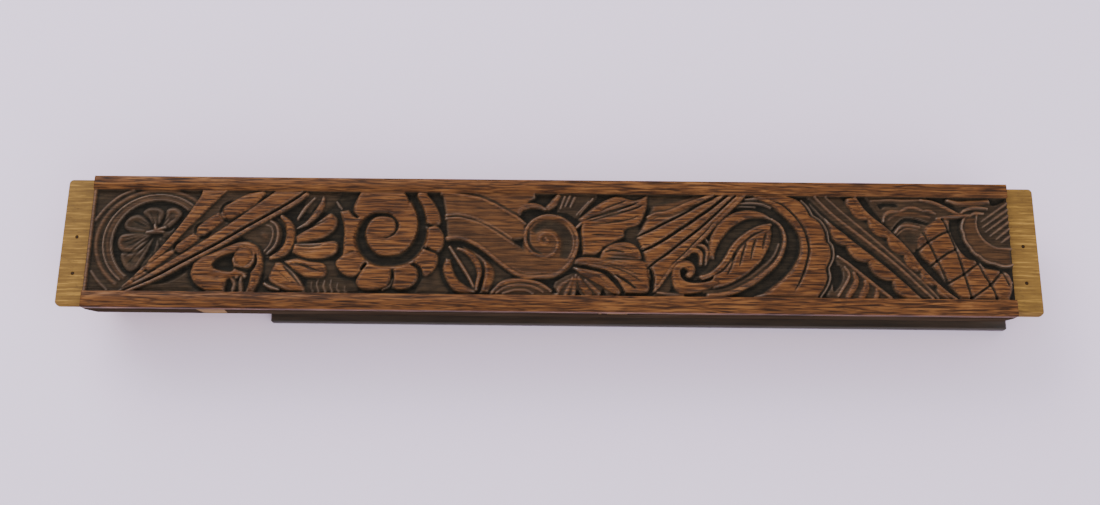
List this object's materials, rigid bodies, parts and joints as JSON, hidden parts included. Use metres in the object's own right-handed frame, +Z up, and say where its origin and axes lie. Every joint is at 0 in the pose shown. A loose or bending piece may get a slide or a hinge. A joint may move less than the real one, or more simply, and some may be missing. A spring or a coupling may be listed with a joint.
{
  "type": "folding rule",
  "caption": "Zigzag folding rule: boxwood leaves on riveted spring joints, with a carved oak cover on the first leaf and a plain dark cover on the last.",
  "frame": {"origin": "middle of the closed rule's base, on the surface that it lies on", "axes": "+X along the rule, towards its first pivot; +Z up, out of the carved cover; +Y away from the side with the chipped slip"},
  "size_m": [0.236, 0.0332, 0.018],
  "materials": {
    "carved_oak": "carved and oiled, dark in the hollows",
    "side_slip": "dull grey-brown veneer",
    "boxwood_plate": "aged yellow boxwood, worn satin",
    "boxwood": "varnished boxwood",
    "dark_back": "dark stained, satin",
    "brass": "worn brass",
    "steel": "dull steel"
  },
  "bodies": {
    "first_leaf": {"carved_cover": "carved_oak", "cover_plate": "boxwood_plate", "near_slip": "side_slip", "far_slip": "side_slip", "leaf_1": "boxwood", "start_tip": "brass", "plate_pin_1": "steel", "plate_pin_2": "steel", "plate_pin_3": "steel", "plate_pin_4": "steel", "rivet_1": "brass", "spring_washer_1": "steel", "upper_joint_plate_1": "brass"},
    "second_leaf": {"leaf_2": "boxwood", "lower_joint_plate_1": "brass", "rivet_2": "brass", "spring_washer_2": "steel", "upper_joint_plate_2": "brass"},
    "third_leaf": {"leaf_3": "boxwood", "lower_joint_plate_2": "brass", "rivet_3": "brass", "spring_washer_3": "steel", "upper_joint_plate_3": "brass"},
    "fourth_leaf": {"leaf_4": "boxwood", "lower_joint_plate_3": "brass", "rivet_4": "brass", "spring_washer_4": "steel", "upper_joint_plate_4": "brass"},
    "last_leaf": {"leaf_5": "boxwood", "lower_joint_plate_4": "brass", "end_tip": "brass", "back_cover": "dark_back", "back_cover_pin_1": "brass", "back_cover_pin_2": "brass", "back_cover_pin_3": "brass", "back_cover_pin_4": "brass"}
  },
  "joints": [
    {"name": "pivot_1", "type": "hinge", "parent": "first_leaf", "child": "second_leaf", "pos_m": [0.09613, 0, 0.0114], "axis": [0, 0, 1], "range_deg": [0, 180]},
    {"name": "pivot_2", "type": "hinge", "parent": "second_leaf", "child": "third_leaf", "pos_m": [-0.09613, 0, 0.0091], "axis": [0, 0, -1], "range_deg": [0, 180]},
    {"name": "pivot_3", "type": "hinge", "parent": "third_leaf", "child": "fourth_leaf", "pos_m": [0.09613, 0, 0.00685], "axis": [0, 0, 1], "range_deg": [0, 180]},
    {"name": "pivot_4", "type": "hinge", "parent": "fourth_leaf", "child": "last_leaf", "pos_m": [-0.09613, 0, 0.0046], "axis": [0, 0, -1], "range_deg": [0, 180]}
  ]
}
